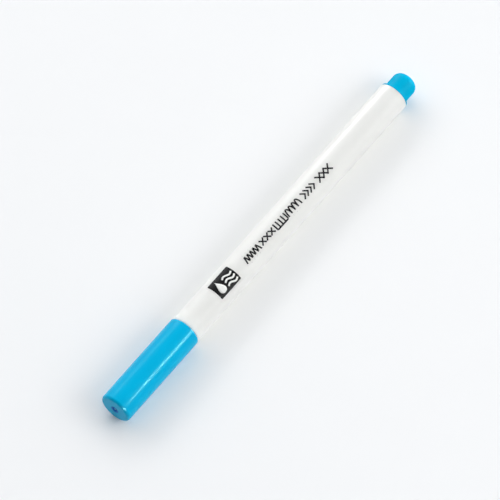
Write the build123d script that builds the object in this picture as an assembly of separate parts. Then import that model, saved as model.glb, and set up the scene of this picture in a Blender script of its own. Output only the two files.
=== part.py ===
"""A slim water-erasable fabric marking pen, capped and lying on its side.

The pen's axis runs along X, with the cap's closed end at -X and the end plug at +X.
The origin is under the middle of the pen, on the surface that the cap lies on.
Lengths along the pen are stations, counted in millimetres from the cap's closed end.
"""

from build123d import *
import os

# Overall size, in millimetres.
TOTAL_LENGTH = 137.0
CAP_LENGTH = 32.0
CAP_DIA = 10.0
BARREL_DIA = 9.4
NECK_DIA = 7.7  # the plug's head has this diameter too, so the cap fits over both
PLUG_REACH = 7.0  # how far the end plug stands out behind the barrel
AXIS_HEIGHT = CAP_DIA / 2

# Fits, as radial clearances.
CAP_CLEARANCE = 0.075  # cap's bore over the neck
BEAD_CLEARANCE = 0.03  # cap's bore over the neck's two beads
SEAL_CLEARANCE = 0.04  # inner seal's lip over the nose's land
NIB_CLEARANCE = 0.05  # nose's bore over the nib
PRESS_GAP = 0.1  # between two pressed pieces, away from their beads
PRESS_BITE = 0.02  # how far a pressed bead bites into its bore
BEAD_ROOT = 0.2  # how far a bead is rooted in the wall under it
MOUTH_GAP = 0.15  # between the cap's mouth and the barrel's shoulder, along the pen

# Cap.
CAP_BORE_DIA = NECK_DIA + 2 * CAP_CLEARANCE
CAP_SEAL_BORE_DIA = 6.9
CAP_SEAL_BORE_END = 17.6
CAP_END_WALL = 1.3
CAP_END_ROUND = 0.9
CAP_MOUTH_ROUND = 0.4
CAP_LEAD_IN = 0.3
GATE_PIT_DIA = 1.9
GATE_PIT_DEPTH = 0.45
GATE_NUB_DIA = 0.6
GATE_NUB_HEIGHT = 0.3

# Inner seal, a soft cup pressed into the cap.
SEAL_FRONT = 1.5
SEAL_MOUTH = 17.3
SEAL_DIA = CAP_SEAL_BORE_DIA - 2 * PRESS_GAP
SEAL_BORE_DIA = 5.5
SEAL_END_WALL = 0.7
SEAL_LIP_LENGTH = 1.0
SEAL_LIP_TAPER = 0.2
SEAL_BEAD_STATIONS = (4.0, 10.0, 16.0)
SEAL_BEAD_RADIUS = 0.35

# Nib and the holder that grips it.
NIB_TIP = 6.0
NIB_END = 43.0
NIB_DIA = 1.8
NIB_POINT_LENGTH = 1.9
NIB_POINT_DIA = 0.7
NIB_POINT_ROUND = 0.3
HOLDER_FRONT = 15.0
HOLDER_DIA = 3.6
HOLDER_HEAD_START = 24.0
HOLDER_HEAD_DIA = 4.3
HOLDER_END = 26.5
HOLDER_GROOVE_COUNT = 3
HOLDER_GROOVE_WIDTH = 0.6
HOLDER_GROOVE_DEPTH = 0.35

# Nose cone, pressed into the barrel's neck.
NOSE_TIP = 9.5
NOSE_TIP_DIA = 2.9
NOSE_TIP_ROUND = 0.25
NOSE_LAND_START = 14.6
NOSE_LAND_DIA = 4.9
NOSE_FLANGE_START = 19.2
NOSE_FLANGE_DIA = 7.3
NOSE_FLANGE_ROUND = 0.25
NECK_FRONT = 20.2
SPIGOT_DIA = 5.9
SPIGOT_END = 29.5
SPIGOT_TAPER = 0.4
SPIGOT_BEAD_STATION = 27.6
SPIGOT_BEAD_RADIUS = 0.5

# Barrel, one moulding with its neck.
SHOULDER = CAP_LENGTH + MOUTH_GAP
BARREL_END = TOTAL_LENGTH - PLUG_REACH
NECK_BORE_DIA = SPIGOT_DIA + 2 * PRESS_GAP
NECK_CHAMFER = 0.3
NECK_BEAD_STATIONS = (24.0, 30.0)
NECK_BEAD_RADIUS = 0.6
BORE_DIA = 7.5
BORE_START = 34.8
BORE_CONE_LENGTH = 0.9
SHOULDER_ROUND = 0.25
RIM_ROUND = 0.15
RIB_COUNT = 6
RIB_WIDTH = 0.55
RIB_HEIGHT = 0.3
RIB_START = 36.5
RIB_END = 118.0
RIB_FIRST_ANGLE = 30

# Ink reservoir: a fibre core inside a plastic film, with a breather tube in the core's groove.
RESERVOIR_START = 36.0
RESERVOIR_END = 115.5
RESERVOIR_DIA = 6.8
FILM_THICKNESS = 0.12
CORE_DIA = RESERVOIR_DIA - 2 * FILM_THICKNESS
TUBE_DIA = 1.0
TUBE_BORE_DIA = 0.65
TUBE_START = 35.9
TUBE_END = 117.0
GROOVE_CLEARANCE = 0.02
TUBE_OFFSET = CORE_DIA / 2 - GROOVE_CLEARANCE - TUBE_DIA / 2  # straight up from the axis

# End plug, pressed into the back of the barrel.
PLUG_HEAD_DIA = NECK_DIA
PLUG_END_ROUND = 2.2
PLUG_FLANGE_DIA = 9.25
PLUG_FLANGE_DRAFT = 0.06  # how much the flange's rim narrows backwards, as a radius
PLUG_FLANGE_LENGTH = 0.55
PLUG_FLANGE_FILLET = 0.35
PLUG_SKIRT_DIA = 7.4
PLUG_SKIRT_START = 120.5
PLUG_CORE_DIA = 5.2
PLUG_CORE_END = 134.0
PLUG_BEAD_STATIONS = (123.5, 127.5)
PLUG_BEAD_RADIUS = 0.5
PLUG_LEG_COUNT = 3
PLUG_LEG_FIRST_ANGLE = 60
PLUG_LEG_START = RESERVOIR_END + 0.2
PLUG_LEG_WIDTH = 1.8
PLUG_LEG_RADII = (2.5, 3.5)
PLUG_LEG_ROOT = 1.0  # how far a leg runs on into the skirt


def lathe(*outline):
    """A solid turned round the axis from an outline of (station, diameter) points."""
    points = [(station, diameter / 2) for station, diameter in outline]
    return Solid.revolve(make_face(Polyline(*points, close=True)).face(), 360, Axis.X)


def rod(start, end, diameter):
    """A round bar along the axis."""
    return lathe((start, 0), (start, diameter), (end, diameter), (end, 0))


def pipe(start, end, outer_dia, inner_dia):
    """A round pipe along the axis."""
    return lathe((start, inner_dia), (start, outer_dia), (end, outer_dia), (end, inner_dia))


def bead(station, surface_dia, radius, height):
    """A low ring of round section that stands proud of a surface by its height."""
    surface_radius = surface_dia / 2
    section = Pos(station, surface_radius + height - radius) * Circle(radius)
    band = Pos(station, surface_radius) * Rectangle(2 * radius, 2 * BEAD_ROOT)
    return Solid.revolve((section & band).face(), 360, Axis.X)


def bar(start, end, width, radii, angle):
    """A straight bar along the pen between two radii, at an angle round the axis from the top."""
    inner, outer = radii
    block = Box(end - start, width, outer - inner)
    return Rot(angle, 0, 0) * Pos((start + end) / 2, 0, (inner + outer) / 2) * block


def angles(count, first=0):
    """Evenly spaced angles round the axis, in degrees."""
    return [first + 360 * number / count for number in range(count)]


def round_edge(solid, station, diameter, radius):
    """Round the circular edge that lies at a station and has a diameter."""
    circles = solid.edges().filter_by(GeomType.CIRCLE)
    at_station = [edge for edge in circles if abs(edge.arc_center.X - station) < 0.001]
    return fillet([edge for edge in at_station if abs(2 * edge.radius - diameter) < 0.001], radius)


def cap_shell():
    """The cap: a plain round tube, closed at one end, with a stepped bore and a moulding gate."""
    step_length = (CAP_BORE_DIA - CAP_SEAL_BORE_DIA) / 2
    shell = lathe(
        (0, 0),
        (0, CAP_DIA),
        (CAP_LENGTH, CAP_DIA),
        (CAP_LENGTH, CAP_BORE_DIA + 2 * CAP_LEAD_IN),
        (CAP_LENGTH - CAP_LEAD_IN, CAP_BORE_DIA),
        (CAP_SEAL_BORE_END + step_length, CAP_BORE_DIA),
        (CAP_SEAL_BORE_END, CAP_SEAL_BORE_DIA),
        (CAP_END_WALL, CAP_SEAL_BORE_DIA),
        (CAP_END_WALL, 0),
    )
    shell = round_edge(shell, 0, CAP_DIA, CAP_END_ROUND)
    shell = round_edge(shell, CAP_LENGTH, CAP_DIA, CAP_MOUTH_ROUND)
    pit_floor_dia = GATE_PIT_DIA - 2 * GATE_PIT_DEPTH
    shell -= lathe((0, 0), (0, GATE_PIT_DIA), (GATE_PIT_DEPTH, pit_floor_dia), (GATE_PIT_DEPTH, 0))
    return shell + rod(GATE_PIT_DEPTH - GATE_NUB_HEIGHT, CAP_END_WALL / 2, GATE_NUB_DIA)


def cap_inner_seal():
    """The soft cup inside the cap, whose lip closes round the nose and keeps the nib wet."""
    lip_dia = NOSE_LAND_DIA + 2 * SEAL_CLEARANCE
    lip_start = SEAL_MOUTH - SEAL_LIP_LENGTH
    cup = lathe(
        (SEAL_FRONT, 0),
        (SEAL_FRONT, SEAL_DIA),
        (SEAL_MOUTH, SEAL_DIA),
        (SEAL_MOUTH, lip_dia + 2 * SEAL_LIP_TAPER),
        (SEAL_MOUTH - SEAL_LIP_TAPER, lip_dia),
        (lip_start, lip_dia),
        (lip_start - SEAL_LIP_TAPER, SEAL_BORE_DIA),
        (SEAL_FRONT + SEAL_END_WALL, SEAL_BORE_DIA),
        (SEAL_FRONT + SEAL_END_WALL, 0),
    )
    for station in SEAL_BEAD_STATIONS:
        cup += bead(station, SEAL_DIA, SEAL_BEAD_RADIUS, PRESS_GAP + PRESS_BITE)
    return cup


def nib():
    """The fibre nib: a rod with a tapered, rounded writing point."""
    stick = lathe(
        (NIB_TIP, 0),
        (NIB_TIP, NIB_POINT_DIA),
        (NIB_TIP + NIB_POINT_LENGTH, NIB_DIA),
        (NIB_END, NIB_DIA),
        (NIB_END, 0),
    )
    return round_edge(stick, NIB_TIP, NIB_POINT_DIA, NIB_POINT_ROUND)


def nib_holder():
    """The bush that grips the nib inside the nose, with grooves that let air past it."""
    bush = lathe(
        (HOLDER_FRONT, NIB_DIA),
        (HOLDER_FRONT, HOLDER_DIA),
        (HOLDER_HEAD_START, HOLDER_DIA),
        (HOLDER_HEAD_START, HOLDER_HEAD_DIA),
        (HOLDER_END, HOLDER_HEAD_DIA),
        (HOLDER_END, NIB_DIA),
    )
    groove_radii = (HOLDER_DIA / 2 - HOLDER_GROOVE_DEPTH, HOLDER_HEAD_DIA)
    for angle in angles(HOLDER_GROOVE_COUNT):
        bush -= bar(HOLDER_FRONT, HOLDER_END, HOLDER_GROOVE_WIDTH, groove_radii, angle)
    return bush


def nose_cone():
    """The cone round the nib, with a land for the seal, a flange and a spigot for the neck."""
    nib_bore_dia = NIB_DIA + 2 * NIB_CLEARANCE
    cone = lathe(
        (NOSE_TIP, nib_bore_dia),
        (NOSE_TIP, NOSE_TIP_DIA),
        (NOSE_LAND_START, NOSE_LAND_DIA),
        (NOSE_FLANGE_START, NOSE_LAND_DIA),
        (NOSE_FLANGE_START, NOSE_FLANGE_DIA),
        (NECK_FRONT, NOSE_FLANGE_DIA),
        (NECK_FRONT, SPIGOT_DIA),
        (SPIGOT_END - SPIGOT_TAPER, SPIGOT_DIA),
        (SPIGOT_END, SPIGOT_DIA - SPIGOT_TAPER),
        (SPIGOT_END, HOLDER_HEAD_DIA),
        (HOLDER_HEAD_START, HOLDER_HEAD_DIA),
        (HOLDER_HEAD_START, HOLDER_DIA),
        (HOLDER_FRONT, HOLDER_DIA),
        (HOLDER_FRONT, nib_bore_dia),
    )
    cone = round_edge(cone, NOSE_TIP, NOSE_TIP_DIA, NOSE_TIP_ROUND)
    cone = round_edge(cone, NOSE_FLANGE_START, NOSE_FLANGE_DIA, NOSE_FLANGE_ROUND)
    return cone + bead(SPIGOT_BEAD_STATION, SPIGOT_DIA, SPIGOT_BEAD_RADIUS, PRESS_GAP + PRESS_BITE)


def barrel():
    """The barrel and its narrower neck, with inner ribs that centre the reservoir."""
    body = lathe(
        (NECK_FRONT, NECK_BORE_DIA),
        (NECK_FRONT, NECK_DIA - 2 * NECK_CHAMFER),
        (NECK_FRONT + NECK_CHAMFER, NECK_DIA),
        (SHOULDER, NECK_DIA),
        (SHOULDER, BARREL_DIA),
        (BARREL_END, BARREL_DIA),
        (BARREL_END, BORE_DIA),
        (BORE_START + BORE_CONE_LENGTH, BORE_DIA),
        (BORE_START, NECK_BORE_DIA),
    )
    body = round_edge(body, SHOULDER, BARREL_DIA, SHOULDER_ROUND)
    body = round_edge(body, BARREL_END, BARREL_DIA, RIM_ROUND)
    for station in NECK_BEAD_STATIONS:
        body += bead(station, NECK_DIA, NECK_BEAD_RADIUS, CAP_CLEARANCE - BEAD_CLEARANCE)
    bore_radius = BORE_DIA / 2
    rib_radii = (bore_radius - RIB_HEIGHT, bore_radius + RIB_HEIGHT)
    for angle in angles(RIB_COUNT, RIB_FIRST_ANGLE):
        body += bar(RIB_START, RIB_END, RIB_WIDTH, rib_radii, angle)
    return body


def reservoir_core():
    """The fibre rod that holds the ink, with a socket for the nib and a groove for the tube."""
    core = rod(RESERVOIR_START, RESERVOIR_END, CORE_DIA)
    core -= rod(RESERVOIR_START, NIB_END, NIB_DIA)
    groove_dia = TUBE_DIA + 2 * GROOVE_CLEARANCE
    core -= Pos(0, 0, TUBE_OFFSET) * rod(RESERVOIR_START, RESERVOIR_END, groove_dia)
    return core - bar(RESERVOIR_START, RESERVOIR_END, groove_dia, (TUBE_OFFSET, CORE_DIA), 0)


def reservoir_film():
    """The thin plastic film wrapped round the fibre core."""
    return pipe(RESERVOIR_START, RESERVOIR_END, RESERVOIR_DIA, CORE_DIA)


def breather_tube():
    """The narrow tube beside the core, which lets air past the ink."""
    return Pos(0, 0, TUBE_OFFSET) * pipe(TUBE_START, TUBE_END, TUBE_DIA, TUBE_BORE_DIA)


def end_plug():
    """The plug: a rounded head, a thin flange, a hollow skirt and legs that hold the reservoir."""
    flange_back = BARREL_END + PLUG_FLANGE_LENGTH
    plug = lathe(
        (PLUG_SKIRT_START, PLUG_CORE_DIA),
        (PLUG_SKIRT_START, PLUG_SKIRT_DIA),
        (BARREL_END, PLUG_SKIRT_DIA),
        (BARREL_END, PLUG_FLANGE_DIA),
        (flange_back, PLUG_FLANGE_DIA - 2 * PLUG_FLANGE_DRAFT),
        (flange_back, PLUG_HEAD_DIA),
        (TOTAL_LENGTH, PLUG_HEAD_DIA),
        (TOTAL_LENGTH, 0),
        (PLUG_CORE_END, 0),
        (PLUG_CORE_END, PLUG_CORE_DIA),
    )
    plug = round_edge(plug, flange_back, PLUG_HEAD_DIA, PLUG_FLANGE_FILLET)
    plug = round_edge(plug, TOTAL_LENGTH, PLUG_HEAD_DIA, PLUG_END_ROUND)
    bead_height = (BORE_DIA - PLUG_SKIRT_DIA) / 2 + PRESS_BITE
    for station in PLUG_BEAD_STATIONS:
        plug += bead(station, PLUG_SKIRT_DIA, PLUG_BEAD_RADIUS, bead_height)
    leg_end = PLUG_SKIRT_START + PLUG_LEG_ROOT
    for angle in angles(PLUG_LEG_COUNT, PLUG_LEG_FIRST_ANGLE):
        plug += bar(PLUG_LEG_START, leg_end, PLUG_LEG_WIDTH, PLUG_LEG_RADII, angle)
    return plug


PIECES = (
    cap_shell,
    cap_inner_seal,
    nib,
    nib_holder,
    nose_cone,
    barrel,
    reservoir_core,
    reservoir_film,
    breather_tube,
    end_plug,
)

os.makedirs("parts", exist_ok=True)
lying_on_the_surface = Pos(-TOTAL_LENGTH / 2, 0, AXIS_HEIGHT)
for piece in PIECES:
    export_step(lying_on_the_surface * piece(), f"parts/{piece.__name__}.step")
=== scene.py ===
"""The looks of a capped fabric marking pen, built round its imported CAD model.

Shapes are worked out in millimetres: x runs along the pen, as in the frame, and radii are
measured from the pen's axis. Angles round the axis start at the top and grow towards -Y.
Stations and depths along the pen are counted from the cap's closed end.
"""

import math
from typing import NamedTuple

import bpy
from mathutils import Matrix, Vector


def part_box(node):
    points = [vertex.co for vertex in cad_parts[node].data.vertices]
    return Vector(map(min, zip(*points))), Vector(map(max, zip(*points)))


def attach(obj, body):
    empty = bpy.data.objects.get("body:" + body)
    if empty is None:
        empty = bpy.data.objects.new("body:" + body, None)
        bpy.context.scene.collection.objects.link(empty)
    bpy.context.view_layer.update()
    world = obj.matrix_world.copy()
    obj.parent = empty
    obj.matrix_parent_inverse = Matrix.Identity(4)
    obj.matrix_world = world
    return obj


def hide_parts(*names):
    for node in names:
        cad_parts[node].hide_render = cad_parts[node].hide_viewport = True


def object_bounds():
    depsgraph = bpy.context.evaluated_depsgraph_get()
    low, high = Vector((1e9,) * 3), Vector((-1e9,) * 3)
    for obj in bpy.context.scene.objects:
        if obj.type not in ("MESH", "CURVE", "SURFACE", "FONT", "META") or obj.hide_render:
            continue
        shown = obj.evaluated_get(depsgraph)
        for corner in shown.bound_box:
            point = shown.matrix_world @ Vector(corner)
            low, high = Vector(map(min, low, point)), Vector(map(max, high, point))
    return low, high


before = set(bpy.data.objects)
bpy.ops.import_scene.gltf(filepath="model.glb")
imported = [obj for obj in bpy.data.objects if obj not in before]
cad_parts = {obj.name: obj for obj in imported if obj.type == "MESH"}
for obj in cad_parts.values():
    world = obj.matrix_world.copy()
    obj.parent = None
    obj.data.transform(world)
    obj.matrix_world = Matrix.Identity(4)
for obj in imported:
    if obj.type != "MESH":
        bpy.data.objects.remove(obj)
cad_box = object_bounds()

MM = 0.001

# Driving sizes read from the frame, in millimetres.
cap_low, cap_high = (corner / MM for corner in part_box("cap_shell"))
barrel_low, barrel_high = (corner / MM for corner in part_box("barrel"))
plug_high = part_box("end_plug")[1] / MM
nose_low, nose_high = (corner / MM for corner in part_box("nose_cone"))
nib_low, nib_high = (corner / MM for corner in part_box("nib"))
AXIS_HEIGHT = (cap_low.z + cap_high.z) / 2
CAP_END = cap_low.x
CAP_MOUTH = cap_high.x
CAP_RADIUS = (cap_high.z - cap_low.z) / 2
NECK_FRONT = barrel_low.x
BARREL_END = barrel_high.x
BARREL_RADIUS = (barrel_high.z - barrel_low.z) / 2
PLUG_END = plug_high.x
MOUTH_GAP = 0.15
SHOULDER = CAP_MOUTH + MOUTH_GAP
NECK_RADIUS = 3.85

# Fineness of the turned meshes.
SIDES = 96
ARC_STEPS = 8
RING_SPACING = 3.0
EDGE_ROUND = 0.05

# Cap.
CAP_BORE_RADIUS = NECK_RADIUS + 0.075
CAP_SEAL_RADIUS = 3.45
CAP_SEAL_DEPTH = 17.6
CAP_END_WALL = 1.3
CAP_END_ROUND = 0.9
CAP_MOUTH_ROUND = 0.4
CAP_LEAD_IN = 0.3
GATE_PIT_RADIUS = 0.95
GATE_PIT_FLOOR_RADIUS = 0.5
GATE_PIT_DEPTH = 0.45
GATE_PIT_ROUND = 0.1
GATE_NUB_RADIUS = 0.3
GATE_NUB_DEPTH = 0.15
GATE_NUB_ROUND = 0.08

# Barrel and neck.
BARREL_BORE_RADIUS = 3.75
NECK_BORE_RADIUS = 3.05
BORE_CONE_START = 34.8
BORE_CONE_END = 35.7
NECK_CHAMFER = 0.3
NECK_BEAD_STATIONS = (24.0, 30.0)
BEAD_HALF_WIDTH = 0.25
BEAD_HEIGHT = 0.045
BEAD_ROUND = 0.15
BEAD_FOOT_ROUND = 0.1
SHOULDER_ROUND = 0.25
BARREL_END_ROUND = 0.15

# End plug.
PLUG_SKIRT_STATION = 120.5
PLUG_SKIRT_RADIUS = 3.7
PLUG_BORE_RADIUS = 2.6
PLUG_END_WALL = 3.0
PLUG_FLANGE_RADIUS = 4.625
PLUG_FLANGE_DRAFT = 0.06
PLUG_FLANGE_LENGTH = 0.55
PLUG_FLANGE_ROUND = 0.1
PLUG_ROOT_ROUND = 0.35
PLUG_HEAD_RADIUS = NECK_RADIUS
PLUG_HEAD_ROUND = 2.2
PLUG_DIMPLE_RADIUS = 0.45
PLUG_DIMPLE_FLOOR_RADIUS = 0.35
PLUG_DIMPLE_DEPTH = 0.12
PLUG_DIMPLE_ROUND = 0.1

# Nose, with distances along it from its tip.
NOSE_MOUTH_RADIUS = 0.95
NOSE_TIP_RADIUS = 1.45
NOSE_TIP_ROUND = 0.25
NOSE_LAND_START = 5.1
NOSE_LAND_RADIUS = 2.45
NOSE_LAND_ROUND = 0.4
NOSE_FLANGE_START = 9.7
NOSE_FLANGE_RADIUS = 3.65
NOSE_FLANGE_ROUND = 0.25
NOSE_ROOT_ROUND = 0.1
NOSE_SPIGOT_RADIUS = 2.95
NOSE_FRONT_BORE = 1.8
NOSE_FRONT_BORE_START = 5.5
NOSE_BACK_BORE = 2.15
NOSE_BACK_BORE_START = 14.5

# Nib.
NIB_RADIUS = 0.9
NIB_POINT_RADIUS = 0.35
NIB_POINT_LENGTH = 1.9
NIB_POINT_ROUND = 0.3
NIB_TAPER_ROUND = 0.5
FLUTE_COUNT = 24
FLUTE_DEPTH = 0.012
FLUTE_WANDER = 0.15
FLUTE_WANDER_RATE = 1.7

# Print on the barrel. Distances along it are from the cap's mouth.
BADGE_MIDDLE = 17.6
BADGE_LENGTH = 8.8
BADGE_HEIGHT = 5.9
BADGE_ROUND = 0.35
BADGE_ANGLE = math.radians(8.8)
WAVE_START = -0.1
WAVE_LENGTH = 3.9
WAVE_HEIGHT = 0.8
WAVE_WIDTH = 0.55
WAVE_ROWS = (-1.75, -0.45, 0.85)
GRID_STEPS = 24
DROP_TRIM = 0.02
STITCHES_START = 26.5
STITCHES_ANGLE = math.radians(14.8)
STITCH_HEIGHT = 2.3
STITCH_WIDTH = 0.46
STROKE_STEP = 0.3
MITRE_LIMIT = 0.35
INK_THICKNESS = 0.012
INK_ROOT = -0.02

# Patterns of noise hardly leave this range.
NOISE_RANGE = (0.3, 0.7)

# Colours of the plastic, each a pair that the slow shade changes run between.
CYAN = ((0.0, 0.425, 0.715), (0.0, 0.44, 0.73))
PLUG_CYAN = ((0.0, 0.405, 0.65), (0.0, 0.42, 0.665))
CYAN_GLOSS = (0.35, 0.95, 1.0)
WHITE = ((0.975, 0.97, 0.89), (0.98, 0.975, 0.9))
NOSE_WHITE = ((0.84, 0.84, 0.82), (0.86, 0.86, 0.84))
FLOOR_SHADES = ((0.886, 0.891, 0.902), (0.882, 0.887, 0.898))

# Painted light at the cap's gate: painted shade in and round the pit, then a painted highlight on its
# nub. For each, where it starts to fade, where it ends, and its colour.
GATE_PAINTED_SHADE_AND_HIGHLIGHT = ((1.15, 1.45, (0.0, 0.15, 0.55)), (0.32, 0.42, (0.25, 0.62, 0.85)))

# Camera: a long lens, so that both ends of the pen are drawn at nearly one scale.
VIEW_AZIMUTH = math.radians(-52.1)
VIEW_ELEVATION = math.radians(61.2)
VIEW_WIDTH = 143.4
LENS = 500.0
SENSOR = 36.0
PEN_RIGHT = 3.80
PEN_UP = 2.17


class Lamp(NamedTuple):
    """A soft rectangular lamp, aimed at a point of the pen's axis."""

    name: str
    target: float  # where on the axis, in millimetres from the frame's origin
    azimuth: float  # degrees from +X towards +Y
    elevation: float  # degrees
    distance: float  # metres, as the width and the height
    width: float
    height: float
    radiance: float
    glint: bool = False  # shows in reflections, but adds no light to matt surfaces


LAMPS = (
    Lamp("left_softbox", 0, 72, 34, 0.9, 1.1, 0.25, 2.8),
    Lamp("right_fill", 0, -65, 33, 0.9, 0.6, 0.42, 3.3),
    Lamp("left_glint", 0, 72, 34, 0.9, 1.1, 0.06, 7.0, glint=True),
    Lamp("right_glint", -43, -63.5, 31.5, 0.35, 0.05, 0.045, 110.0, glint=True),
    Lamp("mouth_glint_right", -37, -32, 13, 0.5, 0.16, 0.12, 260.0, glint=True),
    Lamp("mouth_glint_left", -37, 48, 14, 0.5, 0.14, 0.1, 180.0, glint=True),
    Lamp("end_rim", -68, 236, 18, 0.5, 0.35, 0.15, 130.0, glint=True),
)
LAMP_COLOUR = (1.0, 0.985, 0.965)

# Surroundings. Their strength leans towards +X and fades at the horizon and overhead. Each
# fade has the places where it starts and ends and the strengths at both.
WORLD_COLOUR = (0.965, 0.985, 1.0)
LEAN_WAY = (0.9, 0.15, 0)
LEAN_FADE = (-0.9, 0.9, 0.15, 1.83)
HORIZON_FADE = (0.0, 0.42, 0.45, 1.0)
OVERHEAD_FADE = (0.68, 0.92, 1.0, 0.5)

FLOOR_HALF_WIDTH = 1.5

scene = bpy.context.scene


# ---------------------------------------------------------------- turned shapes


def rounded(corners, closed):
    """The points of an outline whose (x, radius) or (x, radius, round) corners are rounded."""
    points = []
    count = len(corners)
    for number, corner in enumerate(corners):
        here = Vector(corner[:2])
        if not closed and number in (0, count - 1):
            points.append(here)
            continue
        back = (Vector(corners[number - 1][:2]) - here).normalized()
        ahead = (Vector(corners[(number + 1) % count][:2]) - here).normalized()
        bend = corner[2] if len(corner) > 2 else EDGE_ROUND
        half = back.angle(ahead) / 2
        centre = here + (back + ahead).normalized() * (bend / math.sin(half))
        first = here + back * (bend / math.tan(half)) - centre
        last = here + ahead * (bend / math.tan(half)) - centre
        sweep = first.angle_signed(last)
        for step in range(ARC_STEPS + 1):
            turn = -sweep * step / ARC_STEPS
            cosine = math.cos(turn)
            sine = math.sin(turn)
            spoke = Vector((first.x * cosine - first.y * sine, first.x * sine + first.y * cosine))
            points.append(centre + spoke)
    return points


def spaced(points, closed):
    """The same outline, with points added wherever two are far apart."""
    result = []
    ends = points[1:] + points[:1] if closed else points[1:]
    for start, end in zip(points, ends):
        steps = max(1, math.ceil((end - start).length / RING_SPACING))
        result += [start.lerp(end, step / steps) for step in range(steps)]
    return result if closed else result + [points[-1]]


def pen_point(x, radius, angle):
    """The place, in metres, at a distance from the pen's axis and an angle round it."""
    return Vector((x, -radius * math.sin(angle), AXIS_HEIGHT + radius * math.cos(angle))) * MM


def add_piece(name, vertices, faces, material, body):
    """A mesh piece that rides on a body and takes its finish from a slot."""
    mesh = bpy.data.meshes.new(name)
    mesh.from_pydata(vertices, [], faces)
    mesh.validate()
    mesh.shade_smooth()
    mesh.materials.append(material)
    piece = bpy.data.objects.new(name, mesh)
    scene.collection.objects.link(piece)
    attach(piece, body)
    return piece


def lathe(name, corners, material, body, closed=False, ripple=None):
    """A piece turned round the pen's axis.

    An open outline starts and ends on the axis. A closed one is a ring that is open through
    its middle. The ripple, a function of x and the angle, scales the radius.
    """
    outline = spaced(rounded(corners, closed), closed)
    rings = outline if closed else outline[1:-1]
    vertices = []
    for x, radius in rings:
        for side in range(SIDES):
            angle = 2 * math.pi * side / SIDES
            scale = ripple(x, angle) if ripple else 1.0
            vertices.append(pen_point(x, radius * scale, angle))
    faces = []
    for ring in range(len(rings) if closed else len(rings) - 1):
        here = ring * SIDES
        beyond = (ring + 1) % len(rings) * SIDES
        for side in range(SIDES):
            other = (side + 1) % SIDES
            faces.append((here + side, beyond + side, beyond + other, here + other))
    # A fan of triangles closes each end of an open outline.
    if not closed:
        first_pole = len(vertices)
        vertices += [pen_point(outline[0].x, 0, 0), pen_point(outline[-1].x, 0, 0)]
        last_ring = (len(rings) - 1) * SIDES
        for side in range(SIDES):
            other = (side + 1) % SIDES
            faces.append((first_pole, side, other))
            faces.append((first_pole + 1, last_ring + other, last_ring + side))
    return add_piece(name, vertices, faces, material, body)


def make_cap(material):
    """The cap, with its moulding gate in the closed end and its stepped bore."""
    seal_step = CAP_BORE_RADIUS - CAP_SEAL_RADIUS
    outline = [
        (CAP_END + GATE_NUB_DEPTH, 0),
        (CAP_END + GATE_NUB_DEPTH, GATE_NUB_RADIUS, GATE_NUB_ROUND),
        (CAP_END + GATE_PIT_DEPTH, GATE_NUB_RADIUS),
        (CAP_END + GATE_PIT_DEPTH, GATE_PIT_FLOOR_RADIUS),
        (CAP_END, GATE_PIT_RADIUS, GATE_PIT_ROUND),
        (CAP_END, CAP_RADIUS, CAP_END_ROUND),
        (CAP_MOUTH, CAP_RADIUS, CAP_MOUTH_ROUND),
        (CAP_MOUTH, CAP_BORE_RADIUS + CAP_LEAD_IN),
        (CAP_MOUTH - CAP_LEAD_IN, CAP_BORE_RADIUS),
        (CAP_END + CAP_SEAL_DEPTH + seal_step, CAP_BORE_RADIUS),
        (CAP_END + CAP_SEAL_DEPTH, CAP_SEAL_RADIUS),
        (CAP_END + CAP_END_WALL, CAP_SEAL_RADIUS),
        (CAP_END + CAP_END_WALL, 0),
    ]
    piece = lathe("cap", outline, material, "cap")
    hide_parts("cap_shell")


def make_barrel(material):
    """The white barrel and the narrower neck that the cap closes over."""
    outline = [
        (NECK_FRONT, NECK_BORE_RADIUS),
        (NECK_FRONT, NECK_RADIUS - NECK_CHAMFER),
        (NECK_FRONT + NECK_CHAMFER, NECK_RADIUS),
    ]
    for station in NECK_BEAD_STATIONS:
        middle = CAP_END + station
        outline += [
            (middle - BEAD_HALF_WIDTH, NECK_RADIUS, BEAD_FOOT_ROUND),
            (middle, NECK_RADIUS + BEAD_HEIGHT, BEAD_ROUND),
            (middle + BEAD_HALF_WIDTH, NECK_RADIUS, BEAD_FOOT_ROUND),
        ]
    outline += [
        (SHOULDER, NECK_RADIUS),
        (SHOULDER, BARREL_RADIUS, SHOULDER_ROUND),
        (BARREL_END, BARREL_RADIUS, BARREL_END_ROUND),
        (BARREL_END, BARREL_BORE_RADIUS),
        (CAP_END + BORE_CONE_END, BARREL_BORE_RADIUS),
        (CAP_END + BORE_CONE_START, NECK_BORE_RADIUS),
    ]
    piece = lathe("barrel_body", outline, material, "pen", closed=True)
    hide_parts("barrel")


def make_plug(material):
    """The end plug: a thin flange, a rounded head and the skirt inside the barrel."""
    flange_back = BARREL_END + PLUG_FLANGE_LENGTH
    outline = [
        (PLUG_END - PLUG_END_WALL, 0),
        (PLUG_END - PLUG_END_WALL, PLUG_BORE_RADIUS),
        (CAP_END + PLUG_SKIRT_STATION, PLUG_BORE_RADIUS),
        (CAP_END + PLUG_SKIRT_STATION, PLUG_SKIRT_RADIUS),
        (BARREL_END, PLUG_SKIRT_RADIUS),
        (BARREL_END, PLUG_FLANGE_RADIUS),
        (flange_back, PLUG_FLANGE_RADIUS - PLUG_FLANGE_DRAFT, PLUG_FLANGE_ROUND),
        (flange_back, PLUG_HEAD_RADIUS, PLUG_ROOT_ROUND),
        (PLUG_END, PLUG_HEAD_RADIUS, PLUG_HEAD_ROUND),
        (PLUG_END, PLUG_DIMPLE_RADIUS, PLUG_DIMPLE_ROUND),
        (PLUG_END - PLUG_DIMPLE_DEPTH, PLUG_DIMPLE_FLOOR_RADIUS),
        (PLUG_END - PLUG_DIMPLE_DEPTH, 0),
    ]
    piece = lathe("plug", outline, material, "pen")
    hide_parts("end_plug")


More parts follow.
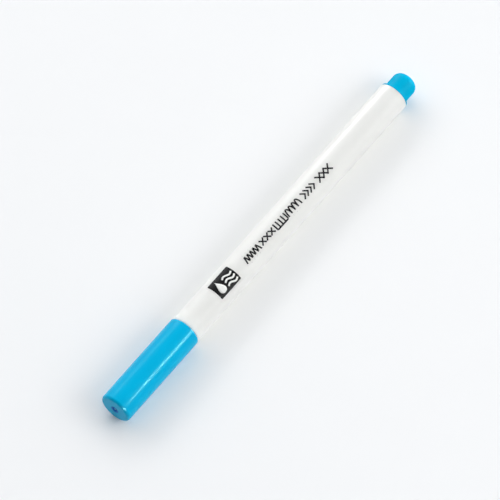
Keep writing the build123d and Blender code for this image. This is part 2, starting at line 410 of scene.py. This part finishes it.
def make_nose(material):
    """The cone that carries the nib."""
    tip = nose_low.x
    outline = [
        (tip, NOSE_MOUTH_RADIUS),
        (tip, NOSE_TIP_RADIUS, NOSE_TIP_ROUND),
        (tip + NOSE_LAND_START, NOSE_LAND_RADIUS, NOSE_LAND_ROUND),
        (tip + NOSE_FLANGE_START, NOSE_LAND_RADIUS, NOSE_ROOT_ROUND),
        (tip + NOSE_FLANGE_START, NOSE_FLANGE_RADIUS, NOSE_FLANGE_ROUND),
        (NECK_FRONT, NOSE_FLANGE_RADIUS),
        (NECK_FRONT, NOSE_SPIGOT_RADIUS),
        (nose_high.x, NOSE_SPIGOT_RADIUS),
        (nose_high.x, NOSE_BACK_BORE),
        (tip + NOSE_BACK_BORE_START, NOSE_BACK_BORE),
        (tip + NOSE_BACK_BORE_START, NOSE_FRONT_BORE),
        (tip + NOSE_FRONT_BORE_START, NOSE_FRONT_BORE),
        (tip + NOSE_FRONT_BORE_START, NOSE_MOUTH_RADIUS),
    ]
    piece = lathe("nose", outline, material, "pen", closed=True)
    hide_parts("nose_cone")


def fibre_ripple(x, angle):
    """The nib's bonded fibres show as fine flutes that wander a little along it."""
    wander = FLUTE_WANDER * math.sin(FLUTE_WANDER_RATE * x)
    flute = 0.5 + 0.5 * math.cos(FLUTE_COUNT * angle + wander)
    return 1 - FLUTE_DEPTH * flute


def make_nib(material):
    """The fibre nib, tapered to a rounded writing point."""
    tip = nib_low.x
    outline = [
        (tip, 0),
        (tip, NIB_POINT_RADIUS, NIB_POINT_ROUND),
        (tip + NIB_POINT_LENGTH, NIB_RADIUS, NIB_TAPER_ROUND),
        (nib_high.x, NIB_RADIUS),
        (nib_high.x, 0),
    ]
    piece = lathe("fibre_nib", outline, material, "pen", ripple=fibre_ripple)
    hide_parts("nib")


# ---------------------------------------------------------------- print


def stroke(points, width):
    """A line of print, as a grid of (along, up) points that is two points wide."""
    path = [Vector(point) for point in points]
    fine = []
    for start, end in zip(path, path[1:]):
        steps = max(1, math.ceil((end - start).length / STROKE_STEP))
        fine += [start.lerp(end, step / steps) for step in range(steps)]
    fine.append(path[-1])
    # The ends are square, and the corners are mitred up to a limit.
    grid = []
    for number, here in enumerate(fine):
        before = (here - fine[number - 1]).normalized() if number else None
        after = (fine[number + 1] - here).normalized() if number + 1 < len(fine) else None
        way = ((before or after) + (after or before)).normalized()
        stretch = 1 / max(MITRE_LIMIT, way.dot(after or before))
        side = Vector((-way.y, way.x)) * (width / 2 * stretch)
        grid.append((here - side, here + side))
    return grid


def rounded_bar(length, height, bend):
    """A rounded rectangle, as a grid of (along, up) points."""
    grid = []
    turns = [math.pi / 2 * step / ARC_STEPS for step in range(ARC_STEPS + 1)]
    spans = [bend * (1 - math.cos(turn)) for turn in turns]
    places = [span - length / 2 for span in spans]
    places += [length / 2 - span for span in reversed(spans)]
    for along in places:
        corner = max(0.0, abs(along) - (length / 2 - bend))
        half = height / 2 - bend + math.sqrt(max(0.0, bend * bend - corner * corner))
        shares = [2 * step / GRID_STEPS - 1 for step in range(GRID_STEPS + 1)]
        grid.append([(along, half * share) for share in shares])
    return grid


def drop(middle, swell, height):
    """A water drop with its point up, as a grid of (along, up) points.

    Where it is widest, its half width is 0.65 of the swell.
    """
    grid = []
    for step in range(GRID_STEPS + 1):
        turn = math.pi * (DROP_TRIM + (1 - 2 * DROP_TRIM) * step / GRID_STEPS)
        half = swell * math.sin(turn) * math.sin(turn / 2) ** 2
        up = height / 2 * math.cos(turn)
        grid.append([(middle + half * share, up) for share in (-1, -0.5, 0, 0.5, 1)])
    return grid


def print_film(name, grids, place, angle, heights, material):
    """A thin closed film of ink on the barrel, made of grids of (along, up) points.

    The grids are laid out from a place along the barrel and an angle round it. The two
    heights, of the film's foot and of its face, are from the barrel's surface.
    """
    vertices = []
    faces = []
    for grid in grids:
        rows = len(grid)
        columns = len(grid[0])
        base = len(vertices)
        for height in heights:
            for row in grid:
                for along, up in row:
                    turn = angle - up / BARREL_RADIUS
                    x = CAP_MOUTH + place + along
                    vertices.append(pen_point(x, BARREL_RADIUS + height, turn))
        top = base + rows * columns
        for row in range(rows - 1):
            for column in range(columns - 1):
                first = row * columns + column
                square = (first, first + 1, first + columns + 1, first + columns)
                faces.append([top + corner for corner in square])
                faces.append([base + corner for corner in reversed(square)])
        # The rim goes once round the grid and closes the film's edge.
        rim = list(range(columns))
        rim += [row * columns + columns - 1 for row in range(1, rows)]
        rim += [(rows - 1) * columns + column for column in range(columns - 2, -1, -1)]
        rim += [row * columns for row in range(rows - 2, 0, -1)]
        for here, after in zip(rim, rim[1:] + rim[:1]):
            faces.append((base + here, base + after, top + after, top + here))
    return add_piece(name, vertices, faces, material, "pen")


def zigzag_stitch(start, count, pitch):
    """One line that goes up and down."""
    half = STITCH_HEIGHT / 2
    line = []
    for number in range(2 * count + 1):
        line.append((start + number * pitch / 2, half if number % 2 else -half))
    return [line]


def cross_stitch(start, count, pitch, size):
    """A row of diagonal crosses."""
    lines = []
    half = size / 2
    for number in range(count):
        middle = start + number * pitch + half
        lines.append([(middle - half, -half), (middle + half, half)])
        lines.append([(middle - half, half), (middle + half, -half)])
    return lines


def blanket_stitch(start, count, pitch):
    """A base line with upright threads."""
    half = STITCH_HEIGHT / 2
    threads = [start + number * pitch for number in range(count)]
    lines = [[(threads[0], -half), (threads[-1], -half)]]
    lines += [[(along, -half), (along, half)] for along in threads]
    return lines


def scallop_stitch(start, count, pitch):
    """A row of joined arches."""
    points = []
    steps = 12
    for number in range(count):
        for step in range(steps):
            turn = math.pi * step / steps
            along = start + number * pitch + pitch / 2 * (1 - math.cos(turn))
            points.append((along, STITCH_HEIGHT * (math.sin(turn) - 0.5)))
    points.append((start + count * pitch, -STITCH_HEIGHT / 2))
    return [points]


def chevron_stitch(start, count, pitch):
    """A row of arrowheads that point along the pen."""
    half = STITCH_HEIGHT / 2
    lines = []
    for number in range(count):
        back = start + number * pitch
        lines.append([(back, half), (back + half, 0), (back, -half)])
    return lines


def wave(start, length, up, height):
    """One period of a wave."""
    steps = 16
    return [
        (start + length * step / steps, up + height / 2 * math.sin(2 * math.pi * step / steps))
        for step in range(steps + 1)
    ]


def make_print(black, white):
    """The badge with its pictogram, and the row of stitch samples."""
    first_coat = (INK_ROOT, INK_THICKNESS)
    second_coat = (0.0, 2 * INK_THICKNESS)
    badge = [rounded_bar(BADGE_LENGTH, BADGE_HEIGHT, BADGE_ROUND)]
    print_film("badge", badge, BADGE_MIDDLE, BADGE_ANGLE, first_coat, black)
    marks = [drop(middle=-2.1, swell=1.95, height=4.4)]
    for row in WAVE_ROWS:
        marks.append(stroke(wave(WAVE_START, WAVE_LENGTH, row, WAVE_HEIGHT), WAVE_WIDTH))
    print_film("badge_marks", marks, BADGE_MIDDLE, BADGE_ANGLE, second_coat, white)
    lines = zigzag_stitch(start=0.0, count=5, pitch=1.3)
    lines += cross_stitch(start=7.3, count=3, pitch=2.1, size=1.8)
    lines += blanket_stitch(start=14.1, count=5, pitch=1.2)
    lines += scallop_stitch(start=19.5, count=4, pitch=1.45)
    lines += chevron_stitch(start=26.8, count=4, pitch=1.4)
    lines += cross_stitch(start=33.7, count=3, pitch=1.9, size=2.3)
    samples = [stroke(line, STITCH_WIDTH) for line in lines]
    print_film(
        "stitch_samples", samples, STITCHES_START, STITCHES_ANGLE, first_coat, black
    )


# ---------------------------------------------------------------- materials


def new_material(name):
    """A node material, with its tree and its shader."""
    material = bpy.data.materials.new(name)
    material.use_nodes = True
    tree = material.node_tree
    return material, tree, tree.nodes["Principled BSDF"]


def noise(tree, scale, stretch=(1, 1, 1), detail=3.0):
    """A noise pattern in object space, with its scale in features per millimetre."""
    coordinates = tree.nodes.new("ShaderNodeTexCoord")
    mapping = tree.nodes.new("ShaderNodeMapping")
    mapping.inputs["Scale"].default_value = stretch
    pattern = tree.nodes.new("ShaderNodeTexNoise")
    pattern.inputs["Scale"].default_value = scale / MM
    pattern.inputs["Detail"].default_value = detail
    tree.links.new(coordinates.outputs["Object"], mapping.inputs["Vector"])
    tree.links.new(mapping.outputs["Vector"], pattern.inputs["Vector"])
    return pattern.outputs["Fac"]


def spread(tree, value, low, high):
    """A noise value moved into a range."""
    node = tree.nodes.new("ShaderNodeMapRange")
    node.inputs["From Min"].default_value = NOISE_RANGE[0]
    node.inputs["From Max"].default_value = NOISE_RANGE[1]
    node.inputs["To Min"].default_value = low
    node.inputs["To Max"].default_value = high
    tree.links.new(value, node.inputs["Value"])
    return node.outputs["Result"]


def stepped(tree, value, start, end, first, last):
    """A smooth step from one value to another."""
    node = tree.nodes.new("ShaderNodeMapRange")
    node.interpolation_type = "SMOOTHSTEP"
    node.inputs["From Min"].default_value = start
    node.inputs["From Max"].default_value = end
    node.inputs["To Min"].default_value = first
    node.inputs["To Max"].default_value = last
    tree.links.new(value, node.inputs["Value"])
    return node.outputs["Result"]


def tint(tree, value, first, second):
    """A colour between two, chosen by a noise value."""
    node = tree.nodes.new("ShaderNodeMix")
    node.data_type = "RGBA"
    node.inputs["A"].default_value = (*first, 1)
    node.inputs["B"].default_value = (*second, 1)
    tree.links.new(spread(tree, value, 0.0, 1.0), node.inputs["Factor"])
    return node.outputs["Result"]


def bump(tree, value, depth, below=None):
    """A bump of a depth in millimetres, on top of another."""
    node = tree.nodes.new("ShaderNodeBump")
    node.inputs["Strength"].default_value = 1.0
    node.inputs["Distance"].default_value = depth * MM
    tree.links.new(value, node.inputs["Height"])
    if below:
        tree.links.new(below, node.inputs["Normal"])
    return node.outputs["Normal"]


def moulded_plastic(name, shades, roughness, glow, depth, ior, gloss=(1, 1, 1), peel=0.004):
    """Glossy moulded plastic: slow shade changes, orange peel and fine rubbing along the pen.

    The glow is the share of light that goes under the surface, to a depth in millimetres.
    """
    material, tree, shader = new_material(name)
    shade = noise(tree, 0.12)
    rub = noise(tree, 6.0, (0.04, 1, 1))
    tree.links.new(tint(tree, shade, *shades), shader.inputs["Base Color"])
    rough = spread(tree, noise(tree, 1.5, (0.2, 1, 1)), *roughness)
    tree.links.new(rough, shader.inputs["Roughness"])
    below = bump(tree, noise(tree, 0.7), peel)
    tree.links.new(bump(tree, rub, 0.0004, below), shader.inputs["Normal"])
    shader.inputs["IOR"].default_value = ior
    shader.inputs["Specular Tint"].default_value = (*gloss, 1)
    shader.inputs["Subsurface Weight"].default_value = glow
    shader.inputs["Subsurface Radius"].default_value = (1.0, 1.0, 1.0)
    shader.inputs["Subsurface Scale"].default_value = depth * MM
    return material


def paint_gate_shade_and_highlight(material):
    """Darkens the cap's colour round its gate pit as painted shade of the recess, and lightens the nub
    in the middle as a painted highlight.
    """
    tree = material.node_tree
    shader = tree.nodes["Principled BSDF"]
    colour = shader.inputs["Base Color"].links[0].from_socket
    coordinates = tree.nodes.new("ShaderNodeTexCoord")
    distance = tree.nodes.new("ShaderNodeVectorMath")
    distance.operation = "DISTANCE"
    distance.inputs[1].default_value = pen_point(CAP_END, 0, 0)
    tree.links.new(coordinates.outputs["Object"], distance.inputs[0])
    # The first colour is painted shade in the pit, the second a painted highlight on the nub.
    for inner, outer, shade in GATE_PAINTED_SHADE_AND_HIGHLIGHT:
        mix = tree.nodes.new("ShaderNodeMix")
        mix.data_type = "RGBA"
        mix.inputs["B"].default_value = (*shade, 1)
        tree.links.new(colour, mix.inputs["A"])
        share = stepped(tree, distance.outputs["Value"], inner * MM, outer * MM, 1.0, 0.0)
        tree.links.new(share, mix.inputs["Factor"])
        colour = mix.outputs["Result"]
    tree.links.new(colour, shader.inputs["Base Color"])


def ink(name, first, second):
    """Printed ink: nearly even, a little rougher than the plastic under it."""
    material, tree, shader = new_material(name)
    grain = noise(tree, 8.0)
    tree.links.new(tint(tree, grain, first, second), shader.inputs["Base Color"])
    tree.links.new(spread(tree, grain, 0.32, 0.45), shader.inputs["Roughness"])
    tree.links.new(bump(tree, grain, 0.002), shader.inputs["Normal"])
    shader.inputs["IOR"].default_value = 1.1
    return material


def fibre(name, dry, wet):
    """Bonded fibres that run along the pen, with ink drawn into them."""
    material, tree, shader = new_material(name)
    strands = noise(tree, 9.0, (0.03, 1, 1), detail=5.0)
    tree.links.new(tint(tree, strands, dry, wet), shader.inputs["Base Color"])
    tree.links.new(spread(tree, strands, 0.6, 0.85), shader.inputs["Roughness"])
    tree.links.new(bump(tree, strands, 0.03), shader.inputs["Normal"])
    shader.inputs["IOR"].default_value = 1.15
    return material


def soft_plastic(name, first, second, see_through=0.0):
    """Satin, slightly cloudy plastic of the inner pieces."""
    material, tree, shader = new_material(name)
    cloud = noise(tree, 0.5)
    tree.links.new(tint(tree, cloud, first, second), shader.inputs["Base Color"])
    tree.links.new(spread(tree, cloud, 0.38, 0.5), shader.inputs["Roughness"])
    tree.links.new(bump(tree, noise(tree, 3.0), 0.003), shader.inputs["Normal"])
    shader.inputs["Transmission Weight"].default_value = see_through
    return material


# ---------------------------------------------------------------- studio


def add_camera():
    """A camera that sees the pen from the side and well above, a little off its middle."""
    level = math.cos(VIEW_ELEVATION)
    back = Vector((
        math.sin(VIEW_AZIMUTH) * level,
        -math.cos(VIEW_AZIMUTH) * level,
        math.sin(VIEW_ELEVATION),
    ))
    right = Vector((math.cos(VIEW_AZIMUTH), math.sin(VIEW_AZIMUTH), 0))
    up = back.cross(right)
    low, high = cad_box
    target = (low + high) / 2 - (right * PEN_RIGHT + up * PEN_UP) * MM
    distance = VIEW_WIDTH * MM * LENS / SENSOR
    data = bpy.data.cameras.new("camera")
    data.lens = LENS
    data.sensor_width = SENSOR
    data.clip_start = distance / 100
    data.clip_end = distance * 10
    camera = bpy.data.objects.new("camera", data)
    camera.location = target + back * distance
    camera.rotation_mode = "QUATERNION"
    camera.rotation_quaternion = (-back).to_track_quat("-Z", "Y")
    scene.collection.objects.link(camera)
    scene.camera = camera


def add_floor():
    """A wide, pale, matt sheet, very faintly blue, that the pen lies on."""
    material, tree, shader = new_material("floor")
    paper = noise(tree, 0.05)
    tree.links.new(tint(tree, paper, *FLOOR_SHADES), shader.inputs["Base Color"])
    shader.inputs["Roughness"].default_value = 0.9
    shader.inputs["Specular IOR Level"].default_value = 0.0
    half = FLOOR_HALF_WIDTH
    mesh = bpy.data.meshes.new("floor")
    corners = [(-half, -half, 0), (half, -half, 0), (half, half, 0), (-half, half, 0)]
    mesh.from_pydata(corners, [], [(0, 1, 2, 3)])
    mesh.materials.append(material)
    floor = bpy.data.objects.new("floor", mesh)
    scene.collection.objects.link(floor)


def add_lamp(lamp):
    """Adds a lamp that faces its target."""
    turn = math.radians(lamp.azimuth)
    climb = math.radians(lamp.elevation)
    level = math.cos(climb)
    way = Vector((level * math.cos(turn), level * math.sin(turn), math.sin(climb)))
    data = bpy.data.lights.new(lamp.name, "AREA")
    data.shape = "RECTANGLE"
    data.size = lamp.width
    data.size_y = lamp.height
    data.color = LAMP_COLOUR
    data.energy = lamp.radiance * math.pi * lamp.width * lamp.height
    light = bpy.data.objects.new(lamp.name, data)
    light.location = pen_point(lamp.target, 0, 0) + way * lamp.distance
    light.rotation_mode = "QUATERNION"
    light.rotation_quaternion = (-way).to_track_quat("-Z", "Y")
    light.visible_diffuse = not lamp.glint
    scene.collection.objects.link(light)


def add_world():
    """White surroundings: dimmer at the horizon, overhead and beyond the cap's closed end."""
    world = bpy.data.worlds.new("studio")
    world.use_nodes = True
    tree = world.node_tree
    background = tree.nodes["Background"]
    background.inputs["Color"].default_value = (*WORLD_COLOUR, 1)
    coordinates = tree.nodes.new("ShaderNodeTexCoord")
    axes = tree.nodes.new("ShaderNodeSeparateXYZ")
    tree.links.new(coordinates.outputs["Generated"], axes.inputs["Vector"])
    lean = tree.nodes.new("ShaderNodeVectorMath")
    lean.operation = "DOT_PRODUCT"
    lean.inputs[1].default_value = LEAN_WAY
    tree.links.new(coordinates.outputs["Generated"], lean.inputs[0])
    shares = (
        stepped(tree, lean.outputs["Value"], *LEAN_FADE),
        stepped(tree, axes.outputs["Z"], *HORIZON_FADE),
        stepped(tree, axes.outputs["Z"], *OVERHEAD_FADE),
    )
    strength = shares[0]
    for share in shares[1:]:
        product = tree.nodes.new("ShaderNodeMath")
        product.operation = "MULTIPLY"
        tree.links.new(strength, product.inputs[0])
        tree.links.new(share, product.inputs[1])
        strength = product.outputs["Value"]
    tree.links.new(strength, background.inputs["Strength"])
    scene.world = world


scene.view_settings.view_transform = "Standard"
add_camera()
add_floor()
for lamp in LAMPS:
    add_lamp(lamp)
add_world()

cap_plastic = moulded_plastic(
    "cap_plastic", CYAN, roughness=(0.16, 0.24), glow=0.05, depth=0.6, ior=1.2, gloss=CYAN_GLOSS
)
# Painted shade round the cap's gate pit and a painted highlight on its nub.
paint_gate_shade_and_highlight(cap_plastic)
make_cap(cap_plastic)
make_plug(moulded_plastic(
    "plug_plastic", PLUG_CYAN, roughness=(0.45, 0.55), glow=0.05, depth=0.6, ior=1.05, gloss=CYAN_GLOSS
))
make_barrel(moulded_plastic(
    "barrel_plastic", WHITE, roughness=(0.32, 0.42), glow=0.8, depth=3.0, ior=1.14, peel=0.0015
))
make_nose(moulded_plastic(
    "nose_plastic", NOSE_WHITE, roughness=(0.24, 0.34), glow=0.4, depth=1.0, ior=1.25
))
make_nib(fibre("nib_fibre", (0.3, 0.58, 0.8), (0.1, 0.38, 0.68)))
make_print(
    ink("print_black", (0.006, 0.006, 0.007), (0.012, 0.012, 0.013)),
    ink("print_white", (0.8, 0.8, 0.78), (0.86, 0.86, 0.84)),
)

# The pieces inside keep their CAD shapes and only take a finish.
inner_finishes = {
    "cap_inner_seal": soft_plastic("seal_plastic", (0.82, 0.84, 0.84), (0.88, 0.9, 0.9)),
    "nib_holder": soft_plastic("holder_plastic", (0.84, 0.84, 0.82), (0.88, 0.88, 0.86)),
    "breather_tube": soft_plastic("tube_plastic", (0.88, 0.9, 0.9), (0.93, 0.95, 0.95), 0.5),
    "reservoir_film": soft_plastic("clear_film", (0.9, 0.93, 0.95), (0.95, 0.97, 0.98), 0.8),
    "reservoir_core": fibre("reservoir_fibre", (0.45, 0.7, 0.88), (0.25, 0.55, 0.82)),
}
for node, material in inner_finishes.items():
    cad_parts[node].data.materials.clear()
    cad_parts[node].data.materials.append(material)
